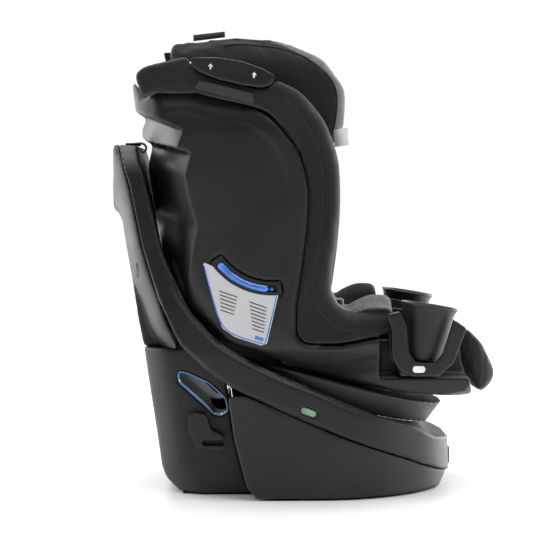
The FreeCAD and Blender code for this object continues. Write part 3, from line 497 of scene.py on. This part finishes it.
# %% [markdown]
# ## The band and the hoop
# The base's signature is the band that rises from the front, sweeps along the side and climbs
# into the hoop behind the seat. Its outer face is slightly crowned, its top edge is a soft
# roll that catches one long highlight, and a fine groove marks where the rear cover meets it.

# %% Base mouldings
def band_shape(points, normals):
    side = points[:, [0, 2]]
    top, low = reach(side, BAND_TOP), np.minimum(reach(side, BAND_SEAM), reach(side, BAND_LOW))
    reachable = 1 - smooth(points[:, 0], 60, 150)
    fall = (roll(top, 9.0) + roll(low, 5.0)) * reachable
    return narrow(points, fall, 176, 197)


def cover_shape(points, normals):
    side = points[:, [0, 2]]
    seam = reach(side, BAND_SEAM)
    bulge = smooth(points[:, 2], 386, 396) * (1 - smooth(points[:, 2], 430, 480))
    middle = 1 - smooth(np.abs(points[:, 1]), 70, 120)
    points[:, 0] -= 4.0 * bulge * smooth(-normals[:, 0], 0.3, 0.8) * middle
    return narrow(points, roll(seam, 2.0) + 70.0 * np.clip(seam / 29.0, 0, 1) ** 1.6, 50, 177)


def housing_shape(points, normals):
    edge = reach(points[:, [0, 2]], REAR_EDGE)
    return narrow(points, wrap(edge, 40.0, 34.0) + roll(edge, 3.0), 70, 141)


band = skin("band_skin", "base_upper_shell", 2.2, 3, band_shape)
cover = skin("hoop_cover_skin", "hoop_rear_cover", 2.4, 3, cover_shape)
skin("rear_housing_skin", "rear_lower_housing", 2.2, 3, housing_shape)
skin("front_base_skin", "base_lower_shell", 2.6, 3)
skin("turntable_skin", "turntable_hub", 2.6, 2)

# %% [markdown]
# ## Padded pieces
# A cushion is a bag that its filling stretches. Modelling that by hand gives even, dead
# bulges, so each pad is simulated: the solid is shrunk a little, rebuilt in even faces, and
# inflated as cloth with a gentle pressure. A cap on how far any point may travel keeps the pad
# within the room that the hard parts leave. Sewn seams are pressed in afterwards.

# %% Filling a pad
def inflate(piece, cap, pressure, frames=20):
    """Blows the pad up as cloth; no point moves more than cap millimetres."""
    start = coords(piece)
    cloth = piece.modifiers.new("filling", "CLOTH")
    cloth.settings.quality = 4
    cloth.settings.mass = 0.2
    cloth.settings.tension_stiffness = cloth.settings.compression_stiffness = 8
    cloth.settings.bending_stiffness = 0.4
    cloth.settings.use_pressure = True
    cloth.settings.uniform_pressure_force = pressure
    cloth.settings.effector_weights.gravity = 0
    cloth.point_cache.frame_start, cloth.point_cache.frame_end = 1, frames
    for frame_number in range(1, frames + 1):
        bpy.context.scene.frame_set(frame_number)
    settle(piece)
    moved = coords(piece) - start
    length = np.linalg.norm(moved, axis=1, keepdims=True)
    set_coords(piece, start + moved * np.minimum(1, cap / np.maximum(length, 1e-9)))
    bpy.context.scene.frame_set(1)
    return piece


def subdivide(piece):
    fine = piece.modifiers.new("fine", "SUBSURF")
    fine.levels = fine.render_levels = 1
    settle(piece)


def pad(name, node, cell, shrink, cap, shape=None, pressure=4.0):
    """A padded piece: blown up, then seams and edges are pressed in by shape."""
    piece = inflate(even_copy(name, node, "knit", cell, 6, shrink), cap, pressure)
    if shape:
        reshape(piece, shape)
    subdivide(piece)
    dress(piece, "knit")
    return piece


# %% [markdown]
# ## Side bolsters
# A bolster is one knitted sleeve pulled over a foam wing, from the top of the back down to
# the thigh. Tight over foam, it shows little air: only its edges round over, and one seam
# runs parallel to its front edge, where the side panel is joined to the inner one. The
# outward half of the thigh's crest is lit from above, and those faces get a second, paler
# finish as a painted highlight.

# %% Bolsters
CREST = 150.0       # half the distance between the two thighs' crests


def groove(distance, depth, width):
    return depth * np.exp(-(distance / width) ** 2)


def bolster_shape(points, normals):
    side = points[:, [0, 2]]
    front, cover = reach(side, BOLSTER_EDGE), reach(side, COVER_EDGE)
    outer = smooth(np.abs(points[:, 1]), 150, 185)
    seam = groove(front - 26.0, 1.4, 1.6)
    fall = roll(front, 16.0) + roll(cover, 5.0) + seam
    crease = 0.5 * np.sin(side[:, 1] * 0.11 + side[:, 0] * 0.05) * smooth(front, 20, 60)
    width = np.abs(points[:, 1])
    thigh = np.exp(-((width - CREST) / 17.0) ** 2) * smooth(points[:, 2], 236, 258)
    thigh *= points[:, 2] < 300
    points[:, 2] += 17.0 * thigh * smooth(points[:, 0], 22, 80) * smooth(normals[:, 2], -0.2, 0.6)
    points[:, 1] = np.sign(points[:, 1]) * (width - (fall + crease + 0.6) * outer)
    return points


bolsters = [pad(f"bolster_pad_{side}", f"bolster_{side}", 5.0, 1.0, 5.0, bolster_shape, 2.0)
            for side in ("left", "right")]


def give_paler_finish(piece, chosen):
    """Gives the faces that a test picks, by their middles in millimetres, the paler border finish: the
    real border on the headrest, a painted highlight on the thighs.
    """
    piece.data.materials.append(FINISH["border"])
    middles = np.empty(len(piece.data.polygons) * 3)
    piece.data.polygons.foreach_get("center", middles)
    picked = chosen(middles.reshape(-1, 3) / MM)
    piece.data.polygons.foreach_set("material_index", picked.astype(np.int32))
    piece.data.update()
    print(piece.name, "bound on", int(picked.sum()), "faces")


def thigh_highlight(at):
    """The outward half of the crest, which takes the painted highlight."""
    width, edge = np.abs(at[:, 1]), reach(at[:, [0, 2]], BOLSTER_EDGE)
    low = (at[:, 0] > 20) & (at[:, 2] > 242) & (at[:, 2] < 292)
    return low & (width > CREST - 1) & (width < 176) & (edge < 40)


# The lit top of each thigh's crest gets the paler border finish: a painted highlight.
for bolster in bolsters:
    give_paler_finish(bolster, thigh_highlight)

# %% [markdown]
# ## Cushions
# The seat and back cushions are removable pads with sewn channels. The channels are grooves
# across the pad, deepest at the stitch. The flap hangs over the front edge of the shell and
# the crotch pad lies under the buckle.

# %% Cushions, flap and pads
SEAM_OUT = 84.0     # the lengthwise seams' distance from the middle
FLAP_HALF = 106.0


def channel(distance):
    return groove(distance, 3.0, 4.0)


def seat_channels(points, normals):
    top = smooth(normals[:, 2], 0.3, 0.8)
    for x in (-40.0, 22.0, 84.0, 146.0):
        points[:, 2] -= channel(points[:, 0] - x) * top
    points[:, 2] -= channel(np.abs(points[:, 1]) - SEAM_OUT) * top
    return points


def back_channels(points, normals):
    face = smooth(normals[:, 0], 0.3, 0.8)
    for z in (340.0, 404.0, 468.0):
        points[:, 0] -= channel(points[:, 2] - z) * face
    points[:, 0] -= channel(np.abs(points[:, 1]) - SEAM_OUT) * face
    return points


def flap_hem(points, normals):
    points[:, 0] -= groove(FLAP_HALF - np.abs(points[:, 1]) - 9.0, 1.2, 1.5)
    return points


pad("seat_cushion_pad", "seat_cushion", 4.5, 1.2, 6.0, seat_channels)
pad("back_cushion_pad", "back_cushion", 4.5, 1.2, 6.0, back_channels)
pad("front_flap_pad", "front_flap", 3.5, 0.6, 3.0, flap_hem)
pad("crotch_pad_soft", "crotch_pad", 2.5, 0.6, 2.5)
pad("shoulder_pad_pair", "shoulder_pads", 2.5, 0.5, 2.0)
skin("foam_blocks", "impact_foam", 5.0, 2)

# %% [markdown]
# ## Headrest
# The headrest is a foam horseshoe in the same knit. Its front rim is bound with a paler border,
# which shows from the side as a light band, and a seam sits where the border starts.

# %% Headrest
def head_shape(points, normals):
    side = points[:, [0, 2]]
    rim = reach(side, HEAD_EDGE)
    outer = smooth(np.abs(points[:, 1]), 120, 148)
    ahead = smooth(side[:, 0], -120, -40)
    fall = roll(rim, 22.0) * (0.45 + 0.55 * ahead) + groove(rim - 14.0, 1.0, 1.5) * ahead
    width = np.abs(points[:, 1])
    points[:, 1] = np.sign(points[:, 1]) * (width - fall * outer)
    return points


head = pad("headrest_pad", "headrest_core", 4.0, 0.2, 3.0, head_shape, 2.5)
pad("headrest_lining_pad", "headrest_lining", 4.0, 0.8, 4.0)


def head_rim(at):
    """The band along the front rim, which thins out towards the back."""
    rim = reach(at[:, [0, 2]], HEAD_EDGE)
    return (rim < 16.0 * smooth(at[:, 0], -110, 0)) & (np.abs(at[:, 1]) < 153)


give_paler_finish(head, head_rim)

# %% [markdown]
# ## Belts
# A harness belt is a flat strip, 34 to 38 mm wide, with a folded edge. Pulled tight, it lies
# nearly straight between its guides. Each is a ribbon swept along a smooth line, thicker at
# the edges.

# %% Ribbons
def mesh_piece(name, verts, faces, slot, body, *stands_for, smooth_faces=True):
    """A piece from points in millimetres and faces."""
    mesh = bpy.data.meshes.new(name)
    mesh.from_pydata([tuple(c * MM for c in v) for v in verts], [], faces)
    return add_piece(name, mesh, slot, body, *stands_for, smooth_faces=smooth_faces)


def ring_faces(rows, around, capped=True):
    """The faces of a tube whose points lie in rings, with a face over each end."""
    faces = []
    for i in range(rows - 1):
        for k in range(around):
            n = (k + 1) % around
            faces.append((i * around + k, i * around + n, (i + 1) * around + n, (i + 1) * around + k))
    if capped:
        end = (rows - 1) * around
        faces += [tuple(range(around))[::-1], tuple(end + k for k in range(around))]
    return faces


def ribbon(name, route, width, across, *stands_for, thick=1.6):
    """A strip of that width along route, whose width runs along the direction across."""
    line = np.array(route, float)
    parts = []
    for a, b in zip(line[:-1], line[1:]):
        parts += [a + (b - a) * k / 12 for k in range(12)]
    line = np.array(parts + [line[-1]])
    for _ in range(10):
        line[1:-1] = (line[:-2] + 2 * line[1:-1] + line[2:]) / 4
    tangent = np.gradient(line, axis=0)
    tangent /= np.linalg.norm(tangent, axis=1, keepdims=True)
    wide = np.array(across, float) / np.linalg.norm(across)
    up = np.cross(wide, tangent)
    up /= np.linalg.norm(up, axis=1, keepdims=True)
    lanes = np.array([-1, -0.93, -0.86, -0.4, 0, 0.4, 0.86, 0.93, 1]) * width / 2
    lift = np.array([0.25, 0.5, 0.36, 0.34, 0.34, 0.34, 0.36, 0.5, 0.25]) * thick
    verts = []
    for point, normal in zip(line, up):
        verts += [point + wide * s + normal * h for s, h in zip(lanes, lift)]
        verts += [point + wide * s - normal * h for s, h in zip(lanes[::-1], lift[::-1])]
    faces = ring_faces(len(line), 2 * len(lanes))
    piece = mesh_piece(name, verts, faces, "webbing", "seat", *stands_for)
    width * MM
    return piece


SIDES = (("left", 1), ("right", -1))
for side, sign in SIDES:
    y = sign * 49
    ribbon(f"shoulder_belt_{side}", [(-148.0, y, 473.5), (-106, y, 381), (-62.4, y, 286.5)],
           37.0, (0, 1, 0), f"shoulder_strap_{side}")
for (side, sign), solids in zip(SIDES, (["lap_straps"], [])):
    wedge = [(-92.0, sign * 129.0, 266.2), (-90, sign * 80, 266.4), (-80.0, sign * 31, 266.0)]
    ribbon(f"lap_belt_{side}", wedge, 34.0, (1, 0, 0), *solids)
ribbon("crotch_belt", [(47.0, 0, 255.6), (72, 0, 250.0), (95.0, 0, 245.0)], 36.0, (0, 1, 0),
       "crotch_strap")

# %% [markdown]
# ## Small trims with broken edges
# Clips, levers and brackets are mouldings too, but small: their rounds are a millimetre or
# less. A bevel would have to follow hundreds of short edges, so each is an even copy with a
# fine cell, where relaxing breaks every edge by about that cell. Faces that meet at more than
# 40 degrees keep a sharp line between them.

# %% Trims
def trim(name, node, cell):
    piece = even_copy(name, node, slot_of(node), cell, 3)
    dress(piece, slot_of(node))
    piece.data.set_sharp_from_angle(angle=math.radians(40))
    return piece


for node, cell in (("cup_cradle_left", 1.3), ("cup_cradle_right", 1.3), ("lift_grips", 1.6),
                   ("recline_handle", 1.3), ("chest_clip", 1.1), ("buckle_body", 0.5),
                   ("adjuster_bezel", 1.0), ("headrest_handle", 1.1), ("tether_guide", 0.8),
                   ("anchor_connectors", 1.2)):
    trim(node + "_trim", node, cell)
trim("name_patches_trim", "name_patches", 0.5).data.materials[0] = PATCH

# %% [markdown]
# ## Cup holders
# A cup holder is turned in its mould: a tapering wall, a step where the cup's base sits, and a
# flared lip with a rolled edge. A profile spun round the cup's own leaning axis gives it in one
# go, with far more shape than a plain cone.

# %% Cups
CUP_LEAN = math.radians(9.0)
CUP_PROFILE = [(0, 0.2), (22, 0.2), (25.6, 1.2), (27.0, 3.6), (29.4, 20), (32.2, 40), (34.6, 58),
               (36.2, 70), (37.6, 74.0), (39.4, 76.4), (40.0, 78.2), (39.6, 79.6), (38.4, 80.0),
               (37.2, 79.0), (35.6, 75.6), (34.2, 72.0), (32.6, 58), (31.2, 47), (29.6, 45.6),
               (28.8, 40), (26.4, 20), (24.6, 6.0), (22.0, 3.6), (0, 3.4)]


def cup(name, node, sign, around=72):
    """The profile, in pairs of radius and height, spun about the cup's leaning axis."""
    foot = np.array([143.0, sign * 167.0, 188.0])
    up = np.array([math.sin(CUP_LEAN), 0, math.cos(CUP_LEAN)])
    across = np.array([0, 1, 0])
    ahead = np.cross(up, across)
    verts = []
    for radius, height in CUP_PROFILE:
        for k in range(around):
            turn = 2 * math.pi * k / around
            verts.append(foot + up * height + radius * (math.cos(turn) * ahead + math.sin(turn) * across))
    faces = ring_faces(len(CUP_PROFILE), around, capped=False)
    piece = mesh_piece(name, verts, faces, "shell_plastic", body_of(node), node)
    subdivide(piece)
    print(name, "has", len(piece.data.polygons), "faces")


cup("cup_left_turned", "cup_holder_left", 1)
cup("cup_right_turned", "cup_holder_right", -1)

# %% [markdown]
# ## Level vial
# The level is a bent tube of blue fluid in a black bezel. The tube bulges out of the side, and a
# rounded section is what makes its long highlight. It is swept along the arc, with domed ends,
# and is deep enough behind the surface for the ball that rolls in it.

# %% Vial
VIAL_CENTRE = (-62.0, 382.7)                # X and Z of the arc's centre
VIAL_RADIUS, VIAL_DEPTH = 92.5, 188.3       # of the tube's middle line
VIAL_WIDE, VIAL_DEEP = 5.4, 5.7             # half the section
VIAL_ENDS = (2.5, 52.0)                     # degrees from straight down


def vial(name, sign, *stands_for, around=24, rows=41):
    verts = []
    low, high = VIAL_ENDS
    for i in range(rows):
        share = i / (rows - 1)
        angle = math.radians(low + (high - low) * share)
        along = min(share, 1 - share) * (high - low) * math.pi / 180 * VIAL_RADIUS
        end = math.sqrt(max(0.0, 1 - (1 - min(1.0, along / VIAL_WIDE)) ** 2)) * 0.97 + 0.03
        for k in range(around):
            turn = 2 * math.pi * k / around
            r = VIAL_RADIUS + VIAL_WIDE * end * math.cos(turn)
            y = VIAL_DEPTH + VIAL_DEEP * end * math.sin(turn)
            verts.append((VIAL_CENTRE[0] - r * math.sin(angle), sign * y,
                          VIAL_CENTRE[1] - r * math.cos(angle)))
    return mesh_piece(name, verts, ring_faces(rows, around), "clear_lens", "seat", *stands_for)


vial("vial_left", 1, "level_lenses")
vial("vial_right", -1)
print("vials done")

# %% [markdown]
# ## Printed and sewn marks
# The side plate carries printed lines and small blocks, the lever a pair of arrows, the headrest
# a folded tag. They are blank or plain here. Each is a thin raised sheet, a few tenths of a
# millimetre over what it is on, which keeps its edge sharp from any distance.

# %% Thin marks on the sides
OUTSIDE = 260.0     # a Y beyond every piece, where rays towards the middle start
PLATE_Y = 191.85    # the side plate's face


def surface_at(piece, line, sign):
    """Where a line drawn on the side meets the piece, as points on its surface."""
    hits = []
    for x, z in line:
        start = Vector((x, sign * OUTSIDE, z)) * MM
        hit, place, normal, face = piece.ray_cast(start, Vector((0, -sign, 0)))
        if hit:
            hits.append(np.array(place) / MM)
    return np.array(hits)


def side_of(x, z, pieces):
    """How far out the outermost of these pieces lies at that X and Z."""
    return max(hit[1] for piece in pieces for hit in surface_at(piece, [(x, z)], 1))


def stamp(name, shapes, y, slot, body, thick=0.25, onto=()):
    """Flat shapes, given as X and Z outlines, on both sides, at that Y or that far off a piece."""
    verts, faces = [], []
    for sign in (1, -1):
        for outline in shapes:
            first, n = len(verts), len(outline)
            lift = [side_of(x, z, onto) if onto else 0 for x, z in outline]
            for depth in (y, y + thick):
                verts += [(x, sign * (depth + out), z) for (x, z), out in zip(outline, lift)]
            faces.append(tuple(first + k for k in range(n)))
            faces.append(tuple(first + n + k for k in range(n))[::-1])
            faces += [(first + k, first + (k + 1) % n, first + n + (k + 1) % n, first + n + k)
                      for k in range(n)]
    return mesh_piece(name, verts, faces, slot, body, smooth_faces=False)


def line_strip(line, width):
    """Short flat pieces that follow a line, mitred where they meet."""
    line = np.array(line, float)
    along = np.gradient(line, axis=0)
    along /= np.linalg.norm(along, axis=1, keepdims=True)
    out = np.stack([-along[:, 1], along[:, 0]], axis=1) * width / 2
    return [[tuple(a + p), tuple(b + q), tuple(b - q), tuple(a - p)]
            for a, b, p, q in zip(line[:-1], line[1:], out[:-1], out[1:])]


def bar(x, z, length, height, lean):
    c, s = math.cos(lean), math.sin(lean)
    return [(x + c * a - s * b, z + s * a + c * b)
            for a, b in ((0, 0), (length, 0), (length, height), (0, height))]


def arrow(x, z, size, lean):
    c, s = math.cos(lean), math.sin(lean)
    outline = [(-0.14, -0.5), (0.14, -0.5), (0.14, 0.0), (0.42, 0.0), (0.0, 0.5), (-0.42, 0.0),
               (-0.14, 0.0)]
    return [(x + size * (c * a - s * b), z + size * (s * a + c * b)) for a, b in outline]


PLATE_EDGE = [(-154.2, 322.2), (-152.0, 312.0), (-143.0, 278.0), (-136.4, 256.0), (-127.6, 238.6),
              (-112.0, 227.2), (-77.0, 216.0), (-71.2, 217.4), (-64.0, 244.0), (-55.6, 281.0)]
# Outline of the slot in the hoop's rear cover, filled below with a dark plate as painted shade.
HOOP_SLOT_SHADE = [(-248.6, 304), (-246.2, 303), (-245.0, 313), (-246.4, 325), (-248.8, 324), (-250.0, 314)]
LEAN = math.radians(-19)
stamp("plate_outline", line_strip(spline(PLATE_EDGE, step=3.0), 1.5), PLATE_Y, "blue_plastic", "seat")
bars = [bar(-134.0 + 0.42 * k, 287.0 - 5.2 * k, 26 - 1.4 * k, 1.3, LEAN) for k in range(6)]
bars += [bar(-93.0 + 0.6 * k, 272.0 - 5.2 * k, 25 - 1.2 * k, 1.3, LEAN) for k in range(8)]
stamp("plate_lines", bars, PLATE_Y, "trim_plastic", "seat", 0.15)
blocks = [bar(-118.0, 297.5, 20, 4.2, LEAN), bar(-97.0, 289.0, 14, 3.4, LEAN)]
stamp("plate_blocks", blocks, PLATE_Y, "base_plastic", "seat", 0.2)
stamp("plate_corner", [bar(-86.0, 222.0, 12, 5.0, LEAN)], PLATE_Y, "blue_plastic", "seat", 0.2)
arrows = [arrow(-145.0, 592.0, 8.0, math.radians(-4)), arrow(-86.0, 580.5, 8.0, math.radians(-10))]
stamp("lever_arrows", arrows, 193.0, "white_plastic", "lift_handle")
# A dark matt rubber plate in the slot's outline stands in for the slot: its darkness is painted shade of
# the slot's hollow.
stamp("hoop_slot_shade", [HOOP_SLOT_SHADE], -1.6, "rubber", "base", 2.0, (cover, band))
print("marks in place")

# %% [markdown]
# ## Tags, piping and stitches
# A sewn cover has small things that give away its scale: a piped seam round the headrest, a
# row of dark stitches along each bolster, a bare tag at the top and another at the
# headrest's front. The base's tether hook is bent from steel rod.
# Piping is a thin cord in a fabric sleeve, so it is a round tube along the seam's curve.

# %% Piping and stitching
def tube(name, route, radius, slot, body, around=10):
    tangent = np.gradient(route, axis=0)
    tangent /= np.linalg.norm(tangent, axis=1, keepdims=True)
    verts = []
    for point, t in zip(route, tangent):
        side = np.cross((0.0, 1.0, 0.0), t)
        side /= max(np.linalg.norm(side), 1e-9)
        up = np.cross(t, side)
        for k in range(around):
            turn = 2 * math.pi * k / around
            verts.append(point + radius * (math.cos(turn) * side + math.sin(turn) * up))
    return mesh_piece(name, verts, ring_faces(len(route), around), slot, body)


def inset_line(line, distance):
    """The line moved sideways, towards the piece it is the edge of."""
    along = np.gradient(line, axis=0)
    along /= np.linalg.norm(along, axis=1, keepdims=True)
    return line + np.stack([along[:, 1], -along[:, 0]], axis=1) * distance


def stitches(name, points, sign, body, length=4.2, gap=2.2, radius=0.45):
    """A row of raised thread dashes along surface points."""
    walk = np.concatenate([[0], np.cumsum(np.linalg.norm(np.diff(points, axis=0), axis=1))])
    verts, faces = [], []
    at = 0.0
    while at + length < walk[-1]:
        ends = [np.array([np.interp(s, walk, points[:, k]) for k in range(3)]) for s in (at, at + length)]
        along = (ends[1] - ends[0]) / np.linalg.norm(ends[1] - ends[0])
        out = np.array([0, sign, 0.0])
        side = np.cross(along, out)
        first = len(verts)
        for share, wide in ((0.0, 0.3), (0.2, 1.0), (0.8, 1.0), (1.0, 0.3)):
            middle = ends[0] + (ends[1] - ends[0]) * share
            for a, b in ((1, 0), (0.5, 0.8), (-0.5, 0.8), (-1, 0)):
                verts.append(middle + side * a * radius * wide * 1.2 + out * b * radius * wide)
        for row in range(3):
            for k in range(3):
                a = first + row * 4 + k
                faces.append((a, a + 1, a + 5, a + 4))
        at += length + gap
    return mesh_piece(name, verts, faces, "webbing", body)


RIM_SEAM = inset_line(HEAD_EDGE, 15.0)
PANEL_SEAM = inset_line(BOLSTER_EDGE, 26.0)
for (side, sign), bolster in zip(SIDES, bolsters):
    rim = surface_at(head, RIM_SEAM[18:], sign)
    tube(f"headrest_piping_{side}", rim, 1.3, "knit", "headrest")
    row = surface_at(bolster, PANEL_SEAM[6:], sign)
    stitches(f"bolster_stitches_{side}", row + np.array([0, 0.1 * sign, 0]), sign, "seat")
    print(side, "seams:", len(rim), "and", len(row), "points")


def tag(name, corners, y, fold, slot, body):
    """A folded label: two layers joined by a rounded fold."""
    (x0, z0), (x1, z1), (x2, z2), (x3, z3) = corners
    verts, faces = [], []
    bend = [(fold * math.sin(t), 1.0) for t in np.linspace(-math.pi / 2, math.pi / 2, 8)]
    profile = [(-fold, 0.0)] + bend + [(fold, 0.0)]
    for lean, share in profile:
        for xa, za, xb, zb in ((x0, z0, x3, z3), (x1, z1, x2, z2)):
            verts.append((xa + (xb - xa) * share, y + lean, za + (zb - za) * share))
    for k in range(len(profile) - 1):
        faces.append((2 * k, 2 * k + 1, 2 * k + 3, 2 * k + 2))
    piece = mesh_piece(name, verts, faces, slot, body)
    piece.modifiers.new("thick", "SOLIDIFY").thickness = 0.4 * MM
    settle(piece)


tag("top_tag", [(-170.0, 632.0), (-126.0, 637.5), (-126.5, 645.5), (-170.5, 640.5)], -112.0, 0.9,
    "webbing", "headrest")
tag("side_tag", [(24.0, 508.0), (43.0, 511.0), (44.5, 487.0), (25.0, 484.5)], -151.0, 1.0,
    "label", "headrest")
hook = spline([(-262.0, 492.0), (-252.0, 492.6), (-245.0, 490.6), (-242.2, 485.0),
               (-245.4, 479.6), (-250.4, 481.6)], step=1.5)
tube("tether_hook", np.stack([hook[:, 0], np.zeros(len(hook)), hook[:, 1]], axis=1), 1.7, "steel", "base")
print("tags and hook done")

# %% [markdown]
# ## Floor, light and camera
# A pale floor and a pale world wrap the black object, so that its edges are drawn by
# reflections rather than by lamps. The world is bright behind the object and dim in front, so
# the side stays dark. A large soft lamp above lights the top faces, long ones behind edge the
# hoop and the housing, and a wide, weak sun evens out the rest. The camera is far away with a
# long lens, as in a catalogue view, so the sides stay almost parallel.

# %% Studio
MIDDLE = Vector((-0.03, 0, 0.32))
FLOOR_HALF = 9
# name, place in metres, width and height, watts
LAMPS = [("top light", (0.1, 0.2, 2.4), (2.2, 2.0), 20),
         ("key light", (0.9, -1.6, 2.1), (1.2, 0.9), 9),
         ("front light", (2.1, -0.5, 0.9), (0.5, 1.6), 12),
         ("rear light", (-2.2, -0.35, 0.7), (0.8, 2.0), 18),
         ("back left light", (-1.7, 1.2, 0.8), (1.5, 2.0), 27),
         ("back right light", (1.7, 1.4, 0.8), (1.2, 1.8), 45)]


def lamp(name, place, size, power):
    light = bpy.data.lights.new(name, "AREA")
    light.shape, light.size, light.size_y, light.energy = "RECTANGLE", size[0], size[1], power
    holder = bpy.data.objects.new(name, light)
    bpy.context.scene.collection.objects.link(holder)
    holder.location = place
    holder.rotation_euler = (MIDDLE - Vector(place)).to_track_quat("-Z", "Y").to_euler()


def floor_plane():
    mesh = bpy.data.meshes.new("floor")
    corners = [(x * FLOOR_HALF, y * FLOOR_HALF, 0) for x, y in ((-1, -1), (1, -1), (1, 1), (-1, 1))]
    mesh.from_pydata(corners, [], [(0, 1, 2, 3)])
    floor = bpy.data.objects.new("floor", mesh)
    floor.location.z = -0.0006
    bpy.context.scene.collection.objects.link(floor)
    paint = Finish("studio floor", IOR=1.3)
    speck = paint.noise(3.0, 2.0)
    paint.drive(Base_Color=paint.blend(speck, grey(0.90), grey(0.94)), Roughness=speck * 0.05 + 0.22)
    mesh.materials.append(paint.material)


def surroundings():
    """White where it is seen directly; as a light, bright behind and dim in front."""
    world = bpy.data.worlds.new("studio")
    world.use_nodes = True
    tree = world.node_tree
    tint = tree.nodes["Background"]
    tint.inputs["Color"].default_value = (1, 1, 1, 1)
    where = tree.nodes.new("ShaderNodeTexCoord")
    split = tree.nodes.new("ShaderNodeSeparateXYZ")
    far = tree.nodes.new("ShaderNodeMapRange")
    for socket, value in (("From Min", -0.45), ("From Max", 0.30), ("To Min", 0.09), ("To Max", 1.0)):
        far.inputs[socket].default_value = value
    seen = tree.nodes.new("ShaderNodeLightPath")
    most = tree.nodes.new("ShaderNodeMath")
    most.operation = "MAXIMUM"
    tree.links.new(where.outputs["Generated"], split.inputs[0])
    tree.links.new(split.outputs["Y"], far.inputs["Value"])
    tree.links.new(far.outputs[0], most.inputs[0])
    tree.links.new(seen.outputs["Is Camera Ray"], most.inputs[1])
    tree.links.new(most.outputs[0], tint.inputs["Strength"])
    bpy.context.scene.world = world
    bpy.context.scene.view_settings.view_transform = "Standard"


def even_light():
    even = bpy.data.lights.new("even light", "SUN")
    even.energy, even.angle = 2.1, math.radians(80)
    bpy.context.scene.collection.objects.link(bpy.data.objects.new("even light", even))


floor_plane()
surroundings()
for name, place, size, power in LAMPS:
    lamp(name, place, size, power)
even_light()
print("floor, world and", len(LAMPS) + 1, "lamps in place")

# %% Camera
CAMERA_AT = Vector((-0.1035, -2.6977, 0.4338))
CAMERA_AIM = Vector((-0.047, 0, 0.2924))


def camera():
    data = bpy.data.cameras.new("camera")
    data.sensor_width, data.lens = 36, 118.4
    data.clip_start, data.clip_end = 0.1, 30
    holder = bpy.data.objects.new("camera", data)
    bpy.context.scene.collection.objects.link(holder)
    holder.location = CAMERA_AT
    holder.rotation_euler = (CAMERA_AIM - CAMERA_AT).to_track_quat("-Z", "Y").to_euler()
    bpy.context.scene.camera = holder


camera()
print("camera", round((CAMERA_AIM - CAMERA_AT).length, 2), "m away")
